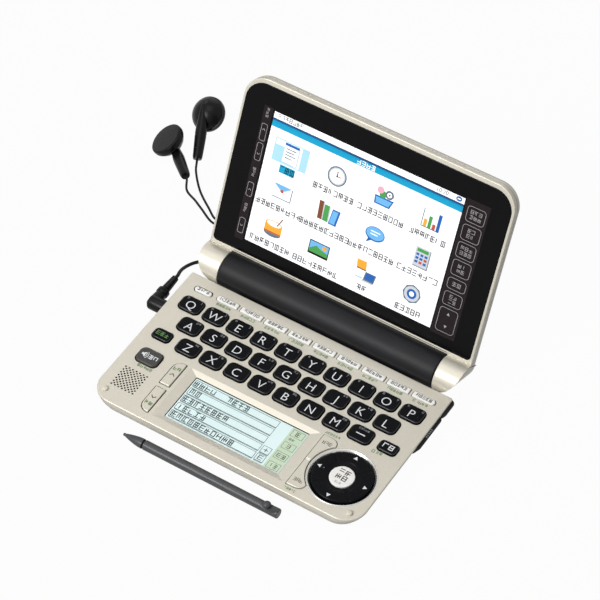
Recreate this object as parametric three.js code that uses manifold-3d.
// An electronic dictionary: a keyboard base, a battery barrel that is also the hinge, a lid with a wide
// display, a stylus, and earphones plugged into the base.
// Millimetres. The pieces are built with the origin at the middle of the base's rear edge, on the deck's
// surface: X to the right, Y to the rear, Z up. At the end the model is moved so that the origin is on the
// table, under the middle of the box of everything but the earphones.
import * as THREE from 'three';
import { mergeVertices } from 'three/addons/utils/BufferGeometryUtils.js';
import Module from 'manifold-3d';

const wasm = await Module();
wasm.setup();

// Clearances and cutters
const gap = 0.3; // between two pieces that rest on each other or slide
const overrun = 2; // how far a cutter runs past the face that it cuts
const keyArcSteps = 2; // steps in a quarter turn of a key's corner
const arcSteps = 3; // the same on other small corners
const wideArcSteps = 6; // the same on the large corners of the casings
const turnSteps = 32; // sides of a large round piece
const smallTurnSteps = 16; // sides of a small round piece

// Base shells
const baseWidth = 148;
const baseDepth = 88.9;
const baseHeight = 9.7; // from the table to the deck's surface
const frontCornerRadius = 11;
const rearCornerRadius = 1.2;
const edgeChamfer = 0.4;
const lipDepth = 1; // upright part of the side edge, above the tuck
const sideTuck = 4.5; // how far the sides draw in down to the bottom
const frontTuck = 3.2;
const partingDepth = 4.9; // from the deck's surface to the joint of the two shells
const deckWall = 1.5;
const sideWall = 1.6;
const floorWall = 1.2;
const footHeight = 0.5;
const footRadius = 3.5;
const footFromSide = 12;
const footFromFront = 12;
const footFromRear = 8;
const postRadius = 1.8;
const bufferRadius = 1.5;
const bufferHeight = 1.1;
const bufferFromSide = 6;
const bufferFromFront = 5.85;

// Keys: they stand through the deck on a flange that the deck holds down
const flangeThickness = 0.8;
const flangeMargin = 0.5;
const keyTravel = 0.8;
const rockerDrop = 0.3; // flanges of the rockers below those of the keys, for their tilt
const keyHeight = 1; // letter keys above the deck
const lowKeyHeight = 0.6; // the other keys
const keyTaper = 0.45; // how far a key draws in from its flange to its top
const letterRows = [[...'qwertyuiop'], [...'asdfghjkl'], [...'zxcvbnm', 'dash']];
const firstKeyFromLeft = 11.81; // to the centre of the first letter key
const lastKeyFromRight = 11.54;
const firstRowFromRear = 18.44;
const rowPitch = 11.61;
const rowStagger = 6.9;
const letterGap = 2.45; // deck between two letter keys in a row
const letterDepth = 8.7;
const letterCorner = 2.7;

const functionCount = 9;
const functionRowFromRear = 7.5;
const functionDepth = 3.5;
const functionGap = 1.45;
const functionFromLeft = 25.6; // to the centre of the first function key
const functionCorner = 0.5;
const powerFromLeft = 11.8;
const powerFromRear = 8;
const powerWidth = 10.5;
const powerDepth = 3.2;

const sideKeyFromEdge = 10.6; // the keys at both ends of the third letter row
const sideKeyWidth = 9.3;
const sideKeyDepth = 6.2;
const sideKeyCorner = 2;

// Lower half of the deck
const lowerMargin = 4.69; // deck between the last letter row and the lower half
const frontMargin = 4.7;
const voiceFromLeft = 13;
const voiceFromTop = 5.7;
const voiceWidth = 11.6;
const voiceDepth = 8.9;
const voiceCorner = 2.7;
const pageFromLeft = 25.35;
const pageWidth = 5.75;
const pageGap = 2.3;
const pageCorner = 0.9;
const pageWideCorner = 4.6;
const padFromLeft = 33.2;
const padFromCornerKeys = 1.6;
const padCorner = 1.4;
const padRecess = 0.9;
const padFrameLeft = 5.1; // width of the sloped frame round the pad, on each side
const padFrameRight = 5;
const padFrameRear = 2.9;
const padFrameFront = 3.6;
const discFromEdge = 3.3; // between the bright ring round the disc and the casing's right edge
const discMargin = 0.25; // between the bright ring and the ends of the lower half
const bezelWidth = 1.6;
const bezelHeight = 0.35;
const enterShare = 0.37; // radius of the enter key, as a share of the bright ring's
const enterHeight = 0.7;
const cornerKeyWidth = 3.7; // from the bright ring to the straight edge of the two keys beside the disc
const cornerKeyMargin = 0.8; // between the bright ring and these keys
const cornerKeyEnd = 3.9; // length of their straight ends
const cornerKeyAngleShare = 0.27; // share of a half turn that they reach round the disc, each way
const cornerNotch = 0.8;

// Inside the base
const membraneThickness = 0.6;
const boardThickness = 1;
const boardFromRear = 11;
const boardFromSide = 11;
const boardFromFront = 5.5;
const membraneMargin = 1.2;
const speakerFromLeft = 12.6;
const speakerShare = 0.51; // radius of the speaker, as a share of half the deck between the voice key and the front
const jackFromRear = 22.85;
const jackDepth = 5.8; // axis of the earphone jack below the deck's surface
const jackHalfWidth = 2.4;
const jackWall = 0.25;
const jackLength = 8.4;
const jackFromEdge = 5.6;
const pinRadius = 1.75;
const pinLength = 14;

// Right edge: a rubber cover over the card slot, and the catch at the rear corner
const slotTop = 1; // below the deck's surface
const slotHeight = 5;
const slotReach = 2.8; // into the casing from its edge
const slotFromRear = 11.8;
const slotLength = 21.8;
const slotBulge = 1.3; // beyond the casing's edge
const slotTaper = 2.4;
const catchFromRear = 1.4;
const catchLength = 9.4;
const catchBulge = 1.5;
const catchHeight = 3.2;

// Hinge and batteries
const hingeFromRear = 10.7; // axis behind the base's rear edge, at the height of the deck
const openAngle = 113.46;
const barrelRadius = 9.6;
const knuckleRadius = 9.4;
const knuckleLength = 13.3; // each end of the hinge, which belongs to the lid
const barrelEndBlock = 9.9; // solid end of the barrel, outside the battery bore
const batteryRadius = 7.25;
const batteryTipRadius = 2.7;
const batteryTipLength = 1.2;
const batteryClearance = 0.45;
const doorWall = 1.6;
const doorLedge = 2; // how far the door reaches past the battery bore at each end
const doorFromAngle = -111;
const doorToAngle = 11;
const doorAngleGap = 1;
const tongueLength = 9; // from the base's rear edge inwards
const tongueFromBarrelEnd = 10.7;
const tongueReach = 6.2; // from the base's rear edge back into the barrel
const hingeBodyRadius = 4.5;
const hingeBodyLength = 7;
const hingePinRadius = 2.6;
const hingePinLength = 7.3;
const journalRadius = 3.2;
const journalLength = 7;
const barrelEndWall = 1.3;

// Lid
const lidOverhang = 3.4; // of the closed lid beyond the base's front edge
const lidCorner = 12;
const lidLowerCorner = 19;
const lidBack = 9.1; // back face behind the hinge axis
const lidRim = 1.4; // rim's front face behind the hinge axis
const lidBackWall = 1.3;
const lidClearance = 0.4; // between the lid and the barrel
const lidBackFromAxis = 6.5; // lower edge of the lid's back above the hinge axis, clear of the battery door
const backInsets = [3, 1.3, 0.35]; // how the back draws in, from the back face forwards
const backSteps = [0.7, 1.4, 1.8]; // depth of each of these bands
const panelDrop = 1.56; // panel's face behind the hinge axis
const panelThickness = 1.2;
const panelFromAxis = 11.19; // panel's lower edge above the hinge axis
const panelSideRim = 1.6;
const panelTopRim = 2.8;
const panelLowerCorner = 2;
const ledge = 2;
const screenFromLeft = 15.5; // from the lid's left edge to the display module
const screenFromRight = 22.7;
const screenFromPanel = 4.8; // above the panel's lower edge
const screenFromTop = 11.4; // below the lid's top edge
const screenThickness = 3.9;

// Stylus, on the table in front of the base
const stylusRadius = 2.5;
const stylusFromFront = 7.4; // axis before the base's front edge
const stylusTip = -48.7;
const stylusEnd = 38;
const stylusPoint = 0.45;
const stylusConeLength = 8.5;
const stylusGroove = 0.35;
const stylusGrooveFromTip = 11.2;
const stylusGrooveWidth = 0.9;
const stylusClipLength = 9.5;
const stylusClipWidth = 5;
const stylusClipThickness = 1.5;

// Earphones
const leadDiameter = 1.8;
const branchDiameter = 1.2;
const headRadius = 3.8;
const headLength = 9.6;
const headGap = 0.4; // between the plug's face and the casing's edge
const headRound = 0.9;
const handleRadius = 3.2;
const handleReach = 9.2; // from the jack's axis to the start of the strain relief
const handleFromFace = 7.2; // from the plug's face to the handle's axis
const reliefLength = 9.6;
const reliefRadius = 2.3;
const reliefEndRadius = 1.7;
const splitterLength = 11;
const splitterRadius = 2.1;
const splitterEndRadius = 1.5;
const branchSpread = 0.9; // each branch from the splitter's axis
const budRadius = 9.3;
const budRim = 3.4;
const budDome = 0.9;
const budDepth = 9.6;
const budNeckRadius = 3.4;
const stemRadius = 3.1;
const stemEndRadius = 2.5;
const stemTop = 3;
const stemLength = 25.5;
const stemBack = 7; // stem's axis behind the bud's face, beside its middle
const stemEndBack = 9.5; // and at the stem's end
const leadPoints = [
  [-82.3, 0.6, -6.4], [-82.9, 4, -7.6], [-82.5, 7.6, -8.5], [-81, 11, -8.8], [-78.6, 13.8, -8.8],
  [-75.3, 17.2, -8.8], [-70.8, 22.4, -8.8], [-65.4, 29, -8.8], [-60.4, 36.5, -8.8], [-57, 43.4, -8.8],
];
const branchTurns = [
  [-21.2, 36.4], [-18.4, 34.2], [-14.4, 34.4], [-11, 37.4], [-9.6, 43], [-9.4, 52], [-11.2, 62],
  [-17, 70.5], [-27, 75.4], [-39, 77], [-51, 76.2], [-61, 72], [-66.6, 64.5], [-69.6, 55], [-74.6, 46.4],
  [-82, 41.3],
];
const leftBranchEnd = [[-87.6, 38.4], [-97.9, 43.2], [-103.4, 45.8], [-110.6, 47.9]];
const rightBranchEnd = [[-87.9, 41.2], [-95.2, 45.7], [-105.5, 53.2], [-114.5, 63.1]];
const branchDropShares = [0, 0.02, 0.1, 0.45]; // how far these points are lifted towards the bud's stem
const branchClearance = 1.3; // each branch from the middle of the pair
const coilCentre = [-40, 53];
const coilOuterRadius = 15.6;
const coilInnerRadius = 3.8;
const coilLayerHeight = 2.25; // height of one layer above the other
const coilTurnsIn = 5;
const coilTurnsClimb = 0.5;
const coilTurnsOut = 4.5;
const coilTurnsDown = 0.5;
const coilLastRadius = 18;
const coilTurnSteps = 24;
const coilSides = 6;
const cordSides = 8;
const leadSteps = 14;
const branchSteps = 33;
const leftBud = { end: [-113.6, 52.7], heading: [0.69, -0.69, 0.218], face: [-0.532, -0.279, 0.799] };
const rightBud = { end: [-118, 69.5], heading: [0.389, -0.764, -0.514], face: [0.165, 0.607, -0.777] };

const leftEdge = -baseWidth / 2;
const rightEdge = baseWidth / 2;
const lidReach = hingeFromRear + baseDepth + lidOverhang; // from the hinge axis to the top edge
const barrelHalfLength = baseWidth / 2 - knuckleLength;
const tongueHalfWidth = barrelHalfLength - tongueFromBarrelEnd;
const boreHalfLength = barrelHalfLength - barrelEndBlock;
const batteryLength = boreHalfLength - batteryTipLength - gap;

// Solids: each helper gives a closed geometry or joins and cuts such geometries
function toSolid(geometry) {
  const bare = geometry.clone();
  bare.deleteAttribute('normal');
  bare.deleteAttribute('uv');
  const merged = mergeVertices(bare);
  const corners = [];
  for (let i = 0; i < merged.index.count; i += 3) {
    const [a, b, c] = [0, 1, 2].map((k) => merged.index.getX(i + k));
    if (a !== b && b !== c && c !== a) corners.push(a, b, c);
  }
  const vertProperties = merged.attributes.position.array;
  return new wasm.Manifold(new wasm.Mesh({ numProp: 3, vertProperties, triVerts: new Uint32Array(corners) }));
}

function toGeometry(solid) {
  const { vertProperties, triVerts } = solid.getMesh();
  const geometry = new THREE.BufferGeometry();
  geometry.setAttribute('position', new THREE.BufferAttribute(vertProperties, 3));
  geometry.setIndex(new THREE.BufferAttribute(triVerts, 1));
  return geometry;
}

const cut = (body, ...tools) => toGeometry(tools.reduce((s, tool) => s.subtract(toSolid(tool)), toSolid(body)));
const join = (body, ...others) => toGeometry(others.reduce((s, other) => s.add(toSolid(other)), toSolid(body)));
const overlap = (body, other) => toGeometry(toSolid(body).intersect(toSolid(other)));

// A block between two corners
function block(x0, x1, y0, y1, z0, z1) {
  const geometry = new THREE.BoxGeometry(x1 - x0, y1 - y0, z1 - z0);
  return geometry.translate((x0 + x1) / 2, (y0 + y1) / 2, (z0 + z1) / 2);
}

// A closed skin over rings of equally many points, from the lowest ring to the highest
function loft(rings) {
  const count = rings[0].length;
  const geometry = new THREE.BufferGeometry().setFromPoints(rings.flat());
  const index = [];
  for (let r = 0; r + 1 < rings.length; r += 1) {
    for (let i = 0; i < count; i += 1) {
      const j = (i + 1) % count;
      const [a, b, c, d] = [r * count + i, r * count + j, (r + 1) * count + j, (r + 1) * count + i];
      index.push(a, b, c, a, c, d);
    }
  }
  const flat = (ring) => ring.map((p) => new THREE.Vector2(p.x, p.y));
  const top = (rings.length - 1) * count;
  THREE.ShapeUtils.triangulateShape(flat(rings[0]), []).forEach(([a, b, c]) => index.push(a, c, b));
  THREE.ShapeUtils.triangulateShape(flat(rings.at(-1)), []).forEach((t) => index.push(...t.map((i) => top + i)));
  geometry.setIndex(index);
  return geometry;
}

// Outline of a rectangle with rounded corners, counter-clockwise from the front left corner, grown by an
// offset. The radii are those of the front left, front right, rear right and rear left corners.
function outline(area, radii, offset = 0, steps = arcSteps) {
  const { x0, x1, y0, y1 } = area;
  const quarter = Math.PI / 2;
  const corners = [[x0, y0, 1, 1], [x1, y0, -1, 1], [x1, y1, -1, -1], [x0, y1, 1, -1]];
  return corners.flatMap(([x, y, sx, sy], k) => {
    const radius = Math.max(radii[k] + offset, gap / 2);
    const centre = new THREE.Vector2(x + sx * (radius - offset), y + sy * (radius - offset));
    return Array.from({ length: steps + 1 }, (_, i) => {
      const angle = (2 + k + i / steps) * quarter;
      return new THREE.Vector2(Math.cos(angle), Math.sin(angle)).multiplyScalar(radius).add(centre);
    });
  });
}

const at = (points, z) => points.map((p) => new THREE.Vector3(p.x, p.y, z));
const around = (x, y, width, depth) => ({
  x0: x - width / 2, x1: x + width / 2, y0: y - depth / 2, y1: y + depth / 2,
});
const everywhere = (radius) => [radius, radius, radius, radius];

// A plate with rounded corners
const plate = (area, radii, z0, z1, steps = arcSteps) => {
  const points = outline(area, radii, 0, steps);
  return loft([at(points, z0), at(points, z1)]);
};

// An upright rod, and shapes drawn in Y and Z and carried along X
function rod(x, y, radius, z0, z1, steps = smallTurnSteps) {
  const geometry = new THREE.CylinderGeometry(radius, radius, z1 - z0, steps);
  return geometry.rotateX(Math.PI / 2).translate(x, y, (z0 + z1) / 2);
}

function alongX(shape, x0, x1, steps = turnSteps) {
  const geometry = new THREE.ExtrudeGeometry(shape, { depth: x1 - x0, bevelEnabled: false, curveSegments: steps });
  const [xAxis, yAxis, zAxis] = [[1, 0, 0], [0, 1, 0], [0, 0, 1]].map((v) => new THREE.Vector3(...v));
  return geometry.applyMatrix4(new THREE.Matrix4().makeBasis(yAxis, zAxis, xAxis)).translate(x0, 0, 0);
}

const disc = (y, z, radius) => new THREE.Shape().absarc(y, z, radius, 0, 2 * Math.PI);
const rodX = (y, z, radius, x0, x1, steps = smallTurnSteps) => alongX(disc(y, z, radius), x0, x1, steps);

// Part of a thick ring round a centre, between two angles in degrees
function ringPart(y, z, inner, outer, from, to) {
  const [a, b] = [from, to].map(THREE.MathUtils.degToRad);
  const shape = new THREE.Shape().absarc(y, z, outer, a, b, false);
  shape.absarc(y, z, inner, b, a, true);
  return shape;
}

// Materials and named pieces
const material = (color, roughness, metalness = 0) => new THREE.MeshStandardMaterial({ color, roughness, metalness });
const shell = material(0xcfc6b0, 0.42, 0.35);
const black = material(0x14151a, 0.4);
const gloss = material(0x08080b, 0.1);
const darkKey = material(0x17181d, 0.28);
const ivory = material(0xe6e0cf, 0.5);
const rubber = material(0x1c1c1e, 0.8);
const circuit = material(0x1d5a38, 0.6);
const steel = material(0xb9bbbd, 0.35, 0.9);
const wrapper = material(0x3d6fb5, 0.4, 0.2);
const screen = material(0xdfe7ea, 0.2);
const cordBlack = material(0x1b1b1c, 0.6);
const graphite = material(0x5a5a5c, 0.5, 0.2);

const model = new THREE.Group();
const lid = new THREE.Group();
const earphones = new THREE.Group();

function piece(name, geometry, surface, group = model) {
  geometry.computeVertexNormals();
  const mesh = new THREE.Mesh(geometry, surface.clone());
  mesh.name = name;
  group.add(mesh);
  return mesh;
}

// Heights, counted down from the deck's surface
const bottom = -baseHeight;
const floorTop = bottom + footHeight + floorWall;
const flangeTop = -deckWall - gap;
const flangeBottom = flangeTop - flangeThickness;
const rockerTop = flangeTop - rockerDrop;
const rockerBottom = flangeBottom - rockerDrop;
const membraneTop = flangeBottom - keyTravel - gap;
const boardTop = membraneTop - membraneThickness - gap;
const boardBottom = boardTop - boardThickness;

// Outline of the casing at a height, drawn in by an inset: the sides tuck under the lip, the front tucks
// under the joint of the shells
function casing(z, inset = 0) {
  const depth = -z;
  const full = baseHeight - footHeight;
  const side = sideTuck * Math.max(0, depth - lipDepth) / (full - lipDepth);
  const front = frontTuck * Math.max(0, depth - partingDepth) / (full - partingDepth);
  const area = { x0: leftEdge + side, x1: rightEdge - side, y0: -baseDepth + front, y1: 0 };
  const radii = [frontCornerRadius, frontCornerRadius, rearCornerRadius, rearCornerRadius];
  return outline(area, radii, -inset, wideArcSteps);
}
const casingRing = (z, inset = 0) => at(casing(z, inset), z);

// Places on the deck
const keyPitch = (baseWidth - firstKeyFromLeft - lastKeyFromRight) / (letterRows[0].length - 1);
const letterWidth = keyPitch - letterGap;
const letterPlace = (row, column) => around(
  leftEdge + firstKeyFromLeft + row * rowStagger + column * keyPitch,
  -firstRowFromRear - row * rowPitch,
  letterWidth,
  letterDepth,
);
const thirdRow = -firstRowFromRear - 2 * rowPitch;
const lowerTop = thirdRow - letterDepth / 2 - lowerMargin;
const lowerBottom = -baseDepth + frontMargin;
const lowerMiddle = (lowerTop + lowerBottom) / 2;
const lowerDepth = lowerTop - lowerBottom;
const functionPlace = (k) => around(
  leftEdge + functionFromLeft + k * keyPitch, -functionRowFromRear, keyPitch - functionGap, functionDepth,
);
const functionRadii = (k) => {
  const left = k === 0 ? functionDepth / 2 : functionCorner;
  const right = k === functionCount - 1 ? functionDepth / 2 : functionCorner;
  return [left, right, right, left];
};
const powerPlace = around(leftEdge + powerFromLeft, -powerFromRear, powerWidth, powerDepth);
const functionKeyPlace = around(leftEdge + sideKeyFromEdge, thirdRow, sideKeyWidth, sideKeyDepth);
const backspacePlace = around(rightEdge - sideKeyFromEdge, thirdRow, sideKeyWidth, sideKeyDepth);
const voicePlace = around(leftEdge + voiceFromLeft, lowerTop - voiceFromTop, voiceWidth, voiceDepth);
const pageX = { x0: leftEdge + pageFromLeft, x1: leftEdge + pageFromLeft + pageWidth };
const pageUpPlace = { ...pageX, y0: lowerMiddle + pageGap / 2, y1: lowerTop };
const pageDownPlace = { ...pageX, y0: lowerBottom, y1: lowerMiddle - pageGap / 2 };
const pageUpRadii = [pageCorner, pageCorner, pageCorner, pageWideCorner];
const pageDownRadii = [pageWideCorner, pageCorner, pageCorner, pageCorner];
const bezelRadius = lowerDepth / 2 - discMargin;
const ringRadius = bezelRadius - bezelWidth;
const enterRadius = bezelRadius * enterShare;
const discX = rightEdge - discFromEdge - bezelRadius;
const cornerKeyX = discX - bezelRadius - cornerKeyWidth;
const padPlace = {
  x0: leftEdge + padFromLeft, x1: cornerKeyX - padFromCornerKeys, y0: lowerBottom, y1: lowerTop,
};
const padWindow = {
  x0: padPlace.x0 + padFrameLeft, x1: padPlace.x1 - padFrameRight,
  y0: padPlace.y0 + padFrameFront, y1: padPlace.y1 - padFrameRear,
};

// Outline of the two keys beside the disc, taken together: a straight left edge, and a hollow right edge
// that follows the disc
function cornerKeys(offset = 0) {
  const x = cornerKeyX - offset;
  const half = lowerDepth / 2 + offset;
  const radius = bezelRadius + cornerKeyMargin - offset;
  const reach = Math.PI * cornerKeyAngleShare;
  const onCircle = (angle) => new THREE.Vector2(discX - radius * Math.cos(angle), radius * Math.sin(angle));
  const tip = onCircle(reach);
  const start = new THREE.Vector2(x + cornerKeyEnd + offset, half);
  const bend = new THREE.QuadraticBezierCurve(start, new THREE.Vector2(tip.x - gap, half), tip).getPoints(arcSteps);
  const upper = [new THREE.Vector2(x, half), ...bend];
  const lower = upper.map((p) => new THREE.Vector2(p.x, -p.y));
  const arcCount = 4 * arcSteps;
  const arc = Array.from({ length: arcCount - 1 }, (_, i) => onCircle(reach * (2 * (i + 1) / arcCount - 1)));
  return [...lower, ...arc, ...upper.reverse()].map((p) => p.add(new THREE.Vector2(0, lowerMiddle)));
}

// A key: a flange under the deck and a cap that tapers to its top
function keySolid(area, radii, height) {
  return loft([
    at(outline(area, radii, flangeMargin, keyArcSteps), flangeBottom),
    at(outline(area, radii, flangeMargin, keyArcSteps), flangeTop),
    at(outline(area, radii, 0, keyArcSteps), flangeTop),
    at(outline(area, radii, -keyTaper, keyArcSteps), height),
  ]);
}

// A cap alone, to be joined to a shared web
const cap = (area, radii, height) => loft([
  at(outline(area, radii, 0, keyArcSteps), flangeTop - flangeThickness / 2),
  at(outline(area, radii, -keyTaper, keyArcSteps), height),
]);
const hole = (area, radii) => loft([
  at(outline(area, radii, gap, keyArcSteps), -deckWall - overrun),
  at(outline(area, radii, gap, keyArcSteps), overrun),
]);

// Letter keys
const singleKeys = [];
letterRows.forEach((row, r) => row.forEach((letter, c) => {
  singleKeys.push([`key_${letter}`, letterPlace(r, c), everywhere(letterCorner), keyHeight, darkKey]);
}));
singleKeys.push(['key_power', powerPlace, everywhere(powerDepth / 2), lowKeyHeight, ivory]);
singleKeys.push(['key_function', functionKeyPlace, everywhere(sideKeyCorner), keyHeight, darkKey]);
singleKeys.push(['key_backspace', backspacePlace, everywhere(sideKeyCorner), keyHeight, darkKey]);
singleKeys.push(['key_voice', voicePlace, everywhere(voiceCorner), keyHeight, darkKey]);
singleKeys.forEach(([name, area, radii, height, surface]) => piece(name, keySolid(area, radii, height), surface));

// Function keys: nine caps moulded on one springy strip
const functionPlaces = Array.from({ length: functionCount }, (_, k) => functionPlace(k));
const stripArea = {
  x0: functionPlaces[0].x0 - flangeMargin,
  x1: functionPlaces.at(-1).x1 + flangeMargin,
  y0: functionPlaces[0].y0 - flangeMargin,
  y1: functionPlaces[0].y1 + flangeMargin,
};
const functionCaps = functionPlaces.map((area, k) => cap(area, functionRadii(k), lowKeyHeight));
const strip = plate(stripArea, everywhere(functionCorner), flangeBottom, flangeTop);
piece('function_key_strip', join(strip, ...functionCaps), ivory);

// Page keys: the two ends of one rocker
const pageArea = { ...pageX, y0: lowerBottom, y1: lowerTop };
const rockerRadii = [pageWideCorner, pageCorner, pageCorner, pageWideCorner];
const pageWeb = outline(pageArea, rockerRadii, flangeMargin);
const pageRocker = join(
  loft([at(pageWeb, rockerBottom), at(pageWeb, rockerTop)]),
  cap(pageUpPlace, pageUpRadii, lowKeyHeight),
  cap(pageDownPlace, pageDownRadii, lowKeyHeight),
);
piece('page_rocker', pageRocker, shell);

// Jump and back keys: the two ends of the rocker beside the disc, with a notch between them
const cornerWeb = cornerKeys(flangeMargin);
const cornerRocker = join(
  loft([at(cornerWeb, rockerBottom), at(cornerWeb, rockerTop)]),
  loft([at(cornerKeys(), flangeTop - flangeThickness / 2), at(cornerKeys(-keyTaper / 2), lowKeyHeight)]),
);
const notch = block(
  cornerKeyX - overrun, discX,
  lowerMiddle - cornerNotch / 2, lowerMiddle + cornerNotch / 2,
  -lowKeyHeight, lowKeyHeight + overrun,
);
piece('jump_back_rocker', cut(cornerRocker, notch), shell);

// Cursor ring and enter key
const ringProfile = [
  [enterRadius + gap, rockerBottom],
  [ringRadius + flangeMargin, rockerBottom],
  [ringRadius + flangeMargin, rockerTop],
  [ringRadius - gap, rockerTop],
  [ringRadius - gap, lowKeyHeight / 2],
  [ringRadius - gap - keyTaper, lowKeyHeight],
  [enterRadius + gap + keyTaper, lowKeyHeight / 2],
  [enterRadius + gap, rockerBottom],
].map(([r, z]) => new THREE.Vector2(r, z));
const onDisc = (geometry) => geometry.rotateX(Math.PI / 2).translate(discX, lowerMiddle, 0);
piece('cursor_ring', onDisc(new THREE.LatheGeometry(ringProfile, turnSteps)), darkKey);
const enterProfile = [
  [0, boardTop + keyTravel + gap],
  [enterRadius - keyTaper, boardTop + keyTravel + gap],
  [enterRadius - keyTaper, flangeBottom],
  [enterRadius, flangeTop],
  [enterRadius, enterHeight / 2],
  [enterRadius - keyTaper, enterHeight],
  [0, enterHeight],
].map(([r, z]) => new THREE.Vector2(r, z));
piece('enter_key', onDisc(new THREE.LatheGeometry(enterProfile, turnSteps)), ivory);

// Openings in the right edge
const slotPlace = { y1: -slotFromRear, y0: -slotFromRear - slotLength };
const catchPlace = { y1: -catchFromRear, y0: -catchFromRear - catchLength };
const edgeCutter = ({ y0, y1 }, height) => block(
  rightEdge - slotReach - gap, rightEdge + overrun, y0 - gap, y1 + gap, -slotTop - height - gap, -slotTop,
);
const slotCutter = edgeCutter(slotPlace, slotHeight);
const catchCutter = edgeCutter(catchPlace, catchHeight);
const jackHole = rodX(
  -jackFromRear, -jackDepth, pinRadius + gap, leftEdge - overrun, leftEdge + sideTuck + sideWall + overrun,
);

// Top cover
const coverShell = loft([
  casingRing(-partingDepth), casingRing(-lipDepth), casingRing(-edgeChamfer), casingRing(0, edgeChamfer),
]);
const coverHollow = loft([
  casingRing(-partingDepth - overrun, sideWall), casingRing(-deckWall, sideWall),
]);
const padHole = loft([
  at(outline(padWindow, everywhere(gap)), -deckWall - overrun),
  at(outline(padWindow, everywhere(gap)), -padRecess),
  at(outline(padPlace, everywhere(padCorner)), 0),
  at(outline(padPlace, everywhere(padCorner)), overrun),
]);
const cornerHole = cornerKeys(gap);
const bezel = onDisc(new THREE.LatheGeometry([
  [ringRadius + gap / 2, -deckWall],
  [bezelRadius, -deckWall],
  [bezelRadius, 0],
  [bezelRadius - bezelWidth / 2, bezelHeight],
  [ringRadius + gap / 2, bezelHeight],
  [ringRadius + gap / 2, -deckWall],
].map(([r, z]) => new THREE.Vector2(r, z)), turnSteps));
const bufferX = baseWidth / 2 - bufferFromSide;
const bufferY = -baseDepth + bufferFromFront;
const buffers = [-1, 1].map((side) => rod(side * bufferX, bufferY, bufferRadius, -deckWall / 2, bufferHeight));
const topCover = cut(
  coverShell,
  coverHollow,
  ...singleKeys.map(([, area, radii]) => hole(area, radii)),
  ...functionPlaces.map((area, k) => hole(area, functionRadii(k))),
  hole(pageUpPlace, pageUpRadii),
  hole(pageDownPlace, pageDownRadii),
  loft([at(cornerHole, -deckWall - overrun), at(cornerHole, overrun)]),
  rod(discX, lowerMiddle, ringRadius, -deckWall - overrun, overrun, turnSteps),
  padHole,
  slotCutter,
  catchCutter,
  jackHole,
);
piece('top_cover', join(topCover, bezel, ...buffers), shell);

// Bottom case, with the slot for the barrel's tongue, posts under the board and feet
const caseTop = -partingDepth - gap;
const caseBottom = bottom + footHeight;
const caseShell = loft([casingRing(caseBottom), casingRing(caseTop)]);
const caseHollow = loft([
  casingRing(floorTop, sideWall), casingRing(caseTop, sideWall),
  at(casing(caseTop, sideWall), caseTop + overrun),
]);
const tongueTop = caseTop;
const tongueBottom = floorTop + gap;
const tongueSlot = block(
  -tongueHalfWidth - gap, tongueHalfWidth + gap, -sideWall - overrun, overrun, floorTop, caseTop + overrun,
);
const board = {
  x0: leftEdge + boardFromSide, x1: rightEdge - boardFromSide,
  y0: -baseDepth + boardFromFront, y1: -boardFromRear,
};
const postXs = [0.06, 0.5, 0.94].map((share) => THREE.MathUtils.lerp(board.x0, board.x1, share));
const postYs = [0.3, 0.94].map((share) => THREE.MathUtils.lerp(board.y0, board.y1, share));
const posts = postXs.flatMap((x) => postYs.map((y) => rod(
  x, y, postRadius, floorTop - floorWall / 2, boardBottom - gap, smallTurnSteps / 2,
)));
const feet = [-1, 1].flatMap((side) => [-baseDepth + footFromFront, -footFromRear].map((y) => rod(
  side * (baseWidth / 2 - footFromSide), y, footRadius, bottom, caseBottom + floorWall / 2,
)));
const bottomCase = join(cut(caseShell, caseHollow, tongueSlot, slotCutter, jackHole), ...posts, ...feet);
piece('bottom_case', bottomCase, shell);

// Board with the earphone jack and the speaker soldered on, and the key membrane over it
const jackY = -jackFromRear;
const jackZ = -jackDepth;
const jackX0 = leftEdge + jackFromEdge + gap;
const jackBody = cut(
  block(
    jackX0, jackX0 + jackLength + sideWall, jackY - jackHalfWidth, jackY + jackHalfWidth,
    floorTop + gap, jackZ + pinRadius + gap / 2 + jackWall,
  ),
  rodX(jackY, jackZ, pinRadius + gap / 2, jackX0 - overrun, jackX0 + jackLength),
);
const jackNotch = (length) => block(
  leftEdge, jackX0 + length, jackY - jackHalfWidth - gap, jackY + jackHalfWidth + gap, bottom, 0,
);
const speaker = rod(
  leftEdge + speakerFromLeft, (voicePlace.y0 + lowerBottom) / 2,
  (voicePlace.y0 - lowerBottom) / 2 * speakerShare, floorTop + gap, flangeTop,
);
const boardPlate = block(board.x0, board.x1, board.y0, board.y1, boardBottom, boardTop);
piece('main_board', join(cut(boardPlate, jackNotch(jackLength)), jackBody, speaker), circuit);
const membranePlate = block(
  leftEdge + membraneMargin + sideTuck, rightEdge - membraneMargin - sideTuck,
  lowerTop + membraneMargin, -sideWall - membraneMargin, membraneTop - membraneThickness, membraneTop,
);
piece('key_membrane', cut(membranePlate, jackNotch(jackLength + sideWall + gap)), rubber);

// Lower pad: a small display under a touch layer
const padOutline = outline(padWindow, everywhere(gap), -gap);
piece('pad_panel', loft([at(padOutline, boardTop + gap), at(padOutline, -padRecess)]), screen);

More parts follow.
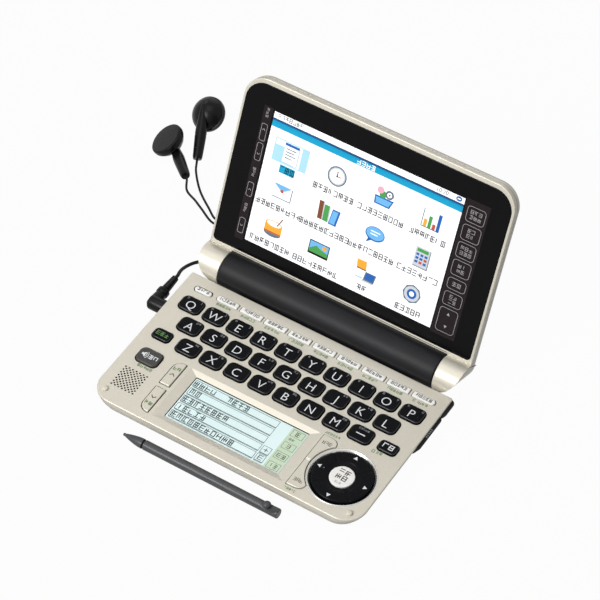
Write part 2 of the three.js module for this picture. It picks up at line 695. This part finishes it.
// Slot cover and catch in the right edge
function edgePiece({ y0, y1 }, bulge, height, taper) {
  const x = rightEdge - slotReach;
  const drawn = (reach) => [
    [x, y0], [rightEdge + reach - bulge / 2, y0], [rightEdge + reach, y0 + taper],
    [rightEdge + reach, y1 - taper], [rightEdge + reach - bulge / 2, y1], [x, y1],
  ].map(([px, py]) => new THREE.Vector2(px, py));
  const top = -slotTop - gap;
  return loft([
    at(drawn(-bulge / 2), -slotTop - height),
    at(drawn(bulge), -slotTop - height / 2),
    at(drawn(bulge), top),
  ]);
}
piece('slot_cover', edgePiece(slotPlace, slotBulge, slotHeight, slotTaper), rubber);
piece('stylus_catch', edgePiece(catchPlace, catchBulge, catchHeight, gap), black);

// Battery barrel, with its tongue into the base
const axisY = hingeFromRear;
const boreRadius = batteryRadius + batteryClearance;
const doorHalfLength = boreHalfLength + doorLedge;
const doorRadius = barrelRadius - doorWall;
const tongue = block(
  -tongueHalfWidth, tongueHalfWidth, -tongueLength, tongueReach, tongueBottom, tongueTop,
);
const barrelBody = join(
  rodX(axisY, 0, barrelRadius, -barrelHalfLength, barrelHalfLength, turnSteps), tongue,
);
const doorway = alongX(
  ringPart(
    axisY, 0, boreRadius - gap, barrelRadius + overrun, doorFromAngle - doorAngleGap, doorToAngle + doorAngleGap,
  ),
  -doorHalfLength - gap, doorHalfLength + gap, turnSteps / 2,
);
const hingeSeatEnd = -barrelHalfLength + hingeBodyLength;
const barrel = cut(
  barrelBody,
  rodX(axisY, 0, boreRadius, -boreHalfLength, boreHalfLength, turnSteps),
  doorway,
  rodX(axisY, 0, hingeBodyRadius + gap, -barrelHalfLength - overrun, hingeSeatEnd + gap),
  rodX(axisY, 0, journalRadius + gap, barrelHalfLength - journalLength - gap, barrelHalfLength + overrun),
);
piece('hinge_barrel', barrel, black);
const doorShape = ringPart(axisY, 0, doorRadius, barrelRadius, doorFromAngle, doorToAngle);
piece('battery_door', alongX(doorShape, -doorHalfLength, doorHalfLength, turnSteps / 2), black);

// Two round cells, end to end, tips to the right
const batteryProfile = [
  [0, 0], [batteryRadius, 0], [batteryRadius, batteryLength], [batteryTipRadius, batteryLength],
  [batteryTipRadius, batteryLength + batteryTipLength], [0, batteryLength + batteryTipLength],
].map(([r, x]) => new THREE.Vector2(r, x));
const batteryStep = batteryLength + batteryTipLength;
[['battery_left', -batteryStep - gap / 2], ['battery_right', gap / 2]].forEach(([name, x]) => {
  const cell = new THREE.LatheGeometry(batteryProfile, smallTurnSteps * 1.5);
  piece(name, cell.rotateZ(-Math.PI / 2).translate(x, axisY, 0), wrapper);
});

// Friction hinge in the barrel's left end: its pin turns in the lid's knuckle
const hingeStart = -barrelHalfLength;
const frictionHinge = join(
  rodX(axisY, 0, hingeBodyRadius, hingeStart, hingeStart + hingeBodyLength),
  rodX(axisY, 0, hingePinRadius, hingeStart - hingePinLength, hingeStart + hingeBodyLength / 2),
);
piece('friction_hinge', frictionHinge, steel);

// Lid: built lying open at half a turn, its front up, with the hinge axis as its X axis
lid.position.set(0, axisY, 0);
lid.rotation.x = THREE.MathUtils.degToRad(180 - openAngle);
model.add(lid);
const lidArea = { x0: -baseWidth / 2, x1: baseWidth / 2, y0: -knuckleRadius, y1: lidReach };
const lidRadii = [lidLowerCorner, lidLowerCorner, lidCorner, lidCorner];
const lidOutline = (z, inset = 0) => at(outline(lidArea, lidRadii, -inset, wideArcSteps), z);
const backLevels = backSteps.map((_, k) => -lidBack + backSteps.slice(0, k).reduce((a, b) => a + b, 0));
const backEnd = -lidBack + backSteps.reduce((a, b) => a + b, 0);
const lidPrism = loft([
  ...backLevels.map((z, k) => lidOutline(z, backInsets[k])), lidOutline(backEnd), lidOutline(knuckleRadius + overrun),
]);
const lidSide = join(
  rodX(0, 0, knuckleRadius, -baseWidth, baseWidth, turnSteps),
  block(-baseWidth, baseWidth, 0, lidReach + overrun, -lidBack - overrun, -lidRim),
);
const panelArea = {
  x0: -baseWidth / 2 + panelSideRim, x1: baseWidth / 2 - panelSideRim,
  y0: panelFromAxis, y1: lidReach - panelTopRim,
};
const panelRadii = [panelLowerCorner, panelLowerCorner, lidCorner - panelSideRim, lidCorner - panelSideRim];
const pocketFloor = -panelDrop - panelThickness - gap;
const pocketOutline = outline(panelArea, panelRadii, gap);
const cavityOutline = outline(panelArea, panelRadii, -ledge);
const knuckleInner = barrelHalfLength + gap;
const lidShell = cut(
  overlap(lidPrism, lidSide),
  rodX(0, 0, barrelRadius + lidClearance, -knuckleInner, knuckleInner, turnSteps),
  block(
    -knuckleInner, knuckleInner, -knuckleRadius - overrun, lidBackFromAxis, -lidBack - overrun, -lidBack / 2,
  ),
  loft([at(pocketOutline, pocketFloor), at(pocketOutline, overrun)]),
  loft([at(cavityOutline, -lidBack + lidBackWall), at(cavityOutline, pocketFloor + gap)]),
  rodX(0, 0, hingePinRadius + gap, -barrelHalfLength - hingePinLength - gap, -barrelHalfLength + overrun),
);
const journal = rodX(0, 0, journalRadius, barrelHalfLength - journalLength, knuckleInner + overrun);
piece('lid_cover', join(lidShell, journal), shell, lid);
const panelOutline = outline(panelArea, panelRadii);
const panelSolid = loft([at(panelOutline, -panelDrop - panelThickness), at(panelOutline, -panelDrop)]);
piece('touch_panel', panelSolid, gloss, lid);
const displayModule = block(
  leftEdge + screenFromLeft, rightEdge - screenFromRight, panelFromAxis + screenFromPanel,
  lidReach - screenFromTop, pocketFloor - screenThickness, pocketFloor,
);
piece('display_module', displayModule, screen, lid);

// Stylus: a rod with a point, a groove and a flared clip end
const stylusLength = stylusEnd - stylusTip;
const grooveEnd = stylusGrooveFromTip + stylusGrooveWidth;
const stylusProfile = [
  [0, 0], [stylusPoint, 0], [stylusRadius - stylusGroove, stylusConeLength], [stylusRadius, stylusGrooveFromTip],
  [stylusRadius - stylusGroove, stylusGrooveFromTip + gap], [stylusRadius - stylusGroove, grooveEnd - gap],
  [stylusRadius, grooveEnd], [stylusRadius, stylusLength - gap], [stylusRadius - gap, stylusLength],
  [0, stylusLength],
].map(([r, x]) => new THREE.Vector2(r, x));
const stylusBody = new THREE.LatheGeometry(stylusProfile, smallTurnSteps).rotateY(Math.PI / smallTurnSteps);
const stylusY = -baseDepth - stylusFromFront;
const stylusClip = loft([
  [stylusLength - stylusClipLength, stylusClipWidth / 2, 0],
  [stylusLength - stylusClipLength / 2, stylusClipWidth / 2 + gap, stylusClipThickness / 2],
  [stylusLength, stylusClipWidth / 2 + gap, stylusClipThickness],
].map(([x, half, rise]) => [
  [half, -stylusRadius / 2], [half, stylusRadius / 2], [-half, stylusRadius / 2 + rise], [-half, -stylusRadius / 2],
].map(([y, z]) => new THREE.Vector3(y, z, x))));
const clipTurn = new THREE.Matrix4().makeBasis(
  new THREE.Vector3(0, 1, 0), new THREE.Vector3(0, 0, 1), new THREE.Vector3(1, 0, 0),
);
const stylus = join(stylusBody.rotateZ(-Math.PI / 2), stylusClip.applyMatrix4(clipTurn));
stylus.computeBoundingBox();
piece('stylus', stylus.translate(stylusTip, stylusY, bottom - stylus.boundingBox.min.z), graphite);

// Earphone plug: pin, round head and a handle at right angles that ends in the strain relief
model.add(earphones);
const faceX = leftEdge - headGap;
const handleX = faceX - handleFromFace;
const latheAlongX = (profile, steps) => new THREE.LatheGeometry(
  profile.map(([r, x]) => new THREE.Vector2(r, x)), steps,
).rotateZ(Math.PI / 2);
const plugAlongX = latheAlongX([
  [0, -pinLength], [pinRadius - gap * 2, -pinLength], [pinRadius, -pinLength + gap * 4], [pinRadius, 0],
  [headRadius, 0], [headRadius, headLength - headRound], [headRadius - headRound, headLength], [0, headLength],
], smallTurnSteps).translate(faceX, jackY, jackZ);
const handle = new THREE.LatheGeometry([
  [0, 0], [handleRadius, 0], [handleRadius, handleReach], [reliefRadius, handleReach],
  [reliefEndRadius, handleReach + reliefLength], [0, handleReach + reliefLength],
].map(([r, y]) => new THREE.Vector2(r, y)), smallTurnSteps).translate(handleX, jackY, jackZ);
piece('earphone_plug', join(plugAlongX, handle), cordBlack, earphones);

// Cords: a tube of even sides along a curve
function tube(curve, diameter, steps) {
  const section = new THREE.Shape(Array.from({ length: cordSides }, (_, k) => {
    const angle = 2 * Math.PI * (k + 0.5) / cordSides;
    return new THREE.Vector2(Math.cos(angle), Math.sin(angle)).multiplyScalar(diameter / 2);
  }));
  return new THREE.ExtrudeGeometry(section, { steps, bevelEnabled: false, extrudePath: curve });
}
const curveThrough = (points) => new THREE.CatmullRomCurve3(points, false, 'centripetal');
const tableHeight = (diameter) => bottom + diameter / 2;

// Coil: the turns lie flat, spiral in, climb in half a turn, spiral out on top and come down again. It
// runs clockwise seen from above, from its left side.
const coilTurns = coilTurnsIn + coilTurnsClimb + coilTurnsOut + coilTurnsDown;
const smooth = (t) => THREE.MathUtils.smoothstep(t, 0, 1);
const coilReversal = coilTurnsIn + coilTurnsClimb / 2;
function coilPoint(turn) {
  const out = turn - coilTurnsIn - coilTurnsClimb;
  const inward = Math.min(turn / coilReversal, 1);
  const outward = Math.max((turn - coilReversal) / (coilTurns - coilReversal), 0);
  const radius = coilOuterRadius + (coilInnerRadius - coilOuterRadius) * inward
    + (coilLastRadius - coilInnerRadius) * outward;
  const rise = smooth((turn - coilTurnsIn) / coilTurnsClimb) - smooth((out - coilTurnsOut) / coilTurnsDown);
  const angle = Math.PI - 2 * Math.PI * turn;
  return new THREE.Vector3(
    coilCentre[0] + radius * Math.cos(angle),
    coilCentre[1] + radius * Math.sin(angle),
    tableHeight(leadDiameter) + coilLayerHeight * rise,
  );
}
const coilCount = Math.round(coilTurns * coilTurnSteps);
const coilPath = Array.from({ length: coilCount + 1 }, (_, k) => coilPoint(k / coilTurnSteps));
coilPath.unshift(coilPath[0].clone().add(new THREE.Vector3(0, -leadDiameter, 0)));
coilPath.push(coilPath.at(-1).clone().add(new THREE.Vector3(0, -leadDiameter, 0)));

// One unbroken tube of few sides over many points
function wound(path, diameter) {
  const rings = path.map((point, k) => {
    const ahead = path[Math.min(k + 1, path.length - 1)];
    const behind = path[Math.max(k - 1, 0)];
    const along = ahead.clone().sub(behind).normalize();
    const across = new THREE.Vector3(along.y, -along.x, 0).normalize();
    const up = across.clone().cross(along);
    return Array.from({ length: coilSides }, (_, i) => {
      const angle = 2 * Math.PI * (i + 0.5) / coilSides;
      const side = across.clone().multiplyScalar(Math.cos(angle)).add(up.clone().multiplyScalar(Math.sin(angle)));
      return point.clone().add(side.multiplyScalar(diameter / 2));
    });
  });
  const geometry = new THREE.BufferGeometry().setFromPoints(rings.flat());
  const index = [];
  for (let r = 0; r + 1 < rings.length; r += 1) {
    for (let i = 0; i < coilSides; i += 1) {
      const j = (i + 1) % coilSides;
      const [a, b] = [r * coilSides + i, r * coilSides + j];
      index.push(a, b + coilSides, b, a, a + coilSides, b + coilSides);
    }
  }
  const last = (rings.length - 1) * coilSides;
  for (let i = 1; i + 1 < coilSides; i += 1) index.push(0, i, i + 1, last, last + i + 1, last + i);
  geometry.setIndex(index);
  return geometry;
}
piece('cord_coil', wound(coilPath, leadDiameter), cordBlack, earphones);

// Least distance between two stretches of the coil that aren't neighbours on the cord
let leastSpacing = Infinity;
coilPath.forEach((p, i) => coilPath.slice(i + coilTurnSteps / 2).forEach((q) => {
  leastSpacing = Math.min(leastSpacing, p.distanceTo(q));
}));
console.log(`coil: ${coilTurns} turns, least gap to itself ${(leastSpacing - leadDiameter).toFixed(2)} mm`);

// Lead from the strain relief to the coil
const coilStart = coilPath[0];
const leadRoute = [
  new THREE.Vector3(handleX, jackY + handleReach + reliefLength + gap, jackZ),
  new THREE.Vector3(handleX, jackY + handleReach + reliefLength + gap + leadDiameter, jackZ),
  ...leadPoints.map((p) => new THREE.Vector3(...p)),
  new THREE.Vector3(coilStart.x, coilStart.y - gap - leadDiameter, coilStart.z),
  new THREE.Vector3(coilStart.x, coilStart.y - gap, coilStart.z),
];
const leadCurve = curveThrough(leadRoute);
piece('cord_lead', tube(leadCurve, leadDiameter, leadSteps), cordBlack, earphones);

// Splitter at the coil's end, heading to the front
const coilEnd = coilPath.at(-1);
const splitterTop = coilEnd.y - gap;
const splitter = new THREE.LatheGeometry([
  [0, -splitterLength], [splitterRadius, -splitterLength], [splitterRadius, -splitterLength / 2],
  [splitterEndRadius, 0], [0, 0],
].map(([r, y]) => new THREE.Vector2(r, y)), smallTurnSteps);
splitter.rotateY(Math.PI / smallTurnSteps);
splitter.computeBoundingBox();
splitter.translate(coilEnd.x, splitterTop, bottom - splitter.boundingBox.min.z);
piece('cord_splitter', splitter, cordBlack, earphones);

// Earbuds: a flat round housing and a stem, both turned to the way they lie on the table
function bud() {
  const housing = new THREE.LatheGeometry([
    [0, -budDepth], [budNeckRadius, -budDepth], [budNeckRadius * 2, -budDepth + budDome * 2],
    [budRadius - budDome, -budRim - budDome], [budRadius, -budRim], [budRadius, -budDome],
    [budRadius - budDome, -gap], [budRadius / 2, budDome / 2], [0, budDome],
  ].map(([r, z]) => new THREE.Vector2(r, z)), smallTurnSteps * 1.5).rotateX(Math.PI / 2);
  const stem = new THREE.LatheGeometry([
    [0, -stemTop], [stemRadius, -stemTop], [stemRadius, stemLength / 2], [stemEndRadius, stemLength],
    [0, stemLength],
  ].map(([r, y]) => new THREE.Vector2(r, y)), smallTurnSteps)
    .rotateX(-Math.asin((stemEndBack - stemBack) / stemLength)).translate(0, 0, -stemBack);
  return join(housing, stem);
}
function layBud(name, { end, heading, face }) {
  const along = new THREE.Vector3(...heading).normalize();
  const front = new THREE.Vector3(...face);
  front.addScaledVector(along, -front.dot(along)).normalize();
  const turn = new THREE.Matrix4().makeBasis(along.clone().cross(front), along, front);
  const geometry = bud().applyMatrix4(turn);
  const lean = Math.asin((stemEndBack - stemBack) / stemLength);
  const stemAxis = new THREE.Vector3(0, Math.cos(lean), -Math.sin(lean)).applyMatrix4(turn);
  const stemEnd = new THREE.Vector3(0, 0, -stemBack).applyMatrix4(turn).addScaledVector(stemAxis, stemLength);
  geometry.computeBoundingBox();
  const shift = new THREE.Vector3(end[0] - stemEnd.x, end[1] - stemEnd.y, bottom - geometry.boundingBox.min.z);
  piece(name, geometry.translate(...shift), cordBlack, earphones);
  return { end: stemEnd.add(shift), along: stemAxis };
}

// Branch cords: side by side from the splitter, then each to its bud
function branch(name, side, lastPoints, laid) {
  const z = tableHeight(branchDiameter) + gap / 2;
  const x = coilEnd.x + side * branchSpread;
  const startY = splitterTop - splitterLength - gap;
  const start = [
    new THREE.Vector3(x, startY, bottom + splitterRadius),
    new THREE.Vector3(x, startY - branchDiameter, bottom + splitterRadius),
  ];
  const middle = branchTurns.map(([px, py], k) => {
    const ahead = branchTurns[Math.min(k + 1, branchTurns.length - 1)];
    const behind = branchTurns[Math.max(k - 1, 0)];
    const along = new THREE.Vector2(ahead[0] - behind[0], ahead[1] - behind[1]).normalize();
    return new THREE.Vector3(px - side * branchClearance * along.y, py + side * branchClearance * along.x, z);
  });
  const ends = lastPoints.map(([px, py], k) => (
    new THREE.Vector3(px, py, THREE.MathUtils.lerp(z, laid.end.z, branchDropShares[k]))
  ));
  const meet = laid.end.clone().addScaledVector(laid.along, gap);
  const near = laid.end.clone().addScaledVector(laid.along, branchDiameter * 2);
  const curve = curveThrough([...start, ...middle, ...ends, near, meet]);
  piece(name, tube(curve, branchDiameter, branchSteps), cordBlack, earphones);
  return curve.getLength();
}
const branchLengths = [
  branch('branch_left', 1, leftBranchEnd, layBud('bud_left', leftBud)),
  branch('branch_right', -1, rightBranchEnd, layBud('bud_right', rightBud)),
];
const coilLength = coilPath.slice(1).reduce((sum, p, k) => sum + p.distanceTo(coilPath[k]), 0);
const lengths = [leadCurve.getLength(), coilLength, ...branchLengths].map((l) => l.toFixed(0));
console.log(`lengths of the lead, the coil and the branches: ${lengths.join(', ')} mm`);

// The origin goes to the table, under the middle of the box of everything but the earphones
model.updateMatrixWorld(true);
model.remove(earphones);
const middle = new THREE.Box3().setFromObject(model, true).getCenter(new THREE.Vector3());
model.add(earphones);
model.position.set(-middle.x, -middle.y, baseHeight);
console.log(`moved by ${model.position.toArray().map((v) => v.toFixed(4)).join(', ')}`);

export default model;
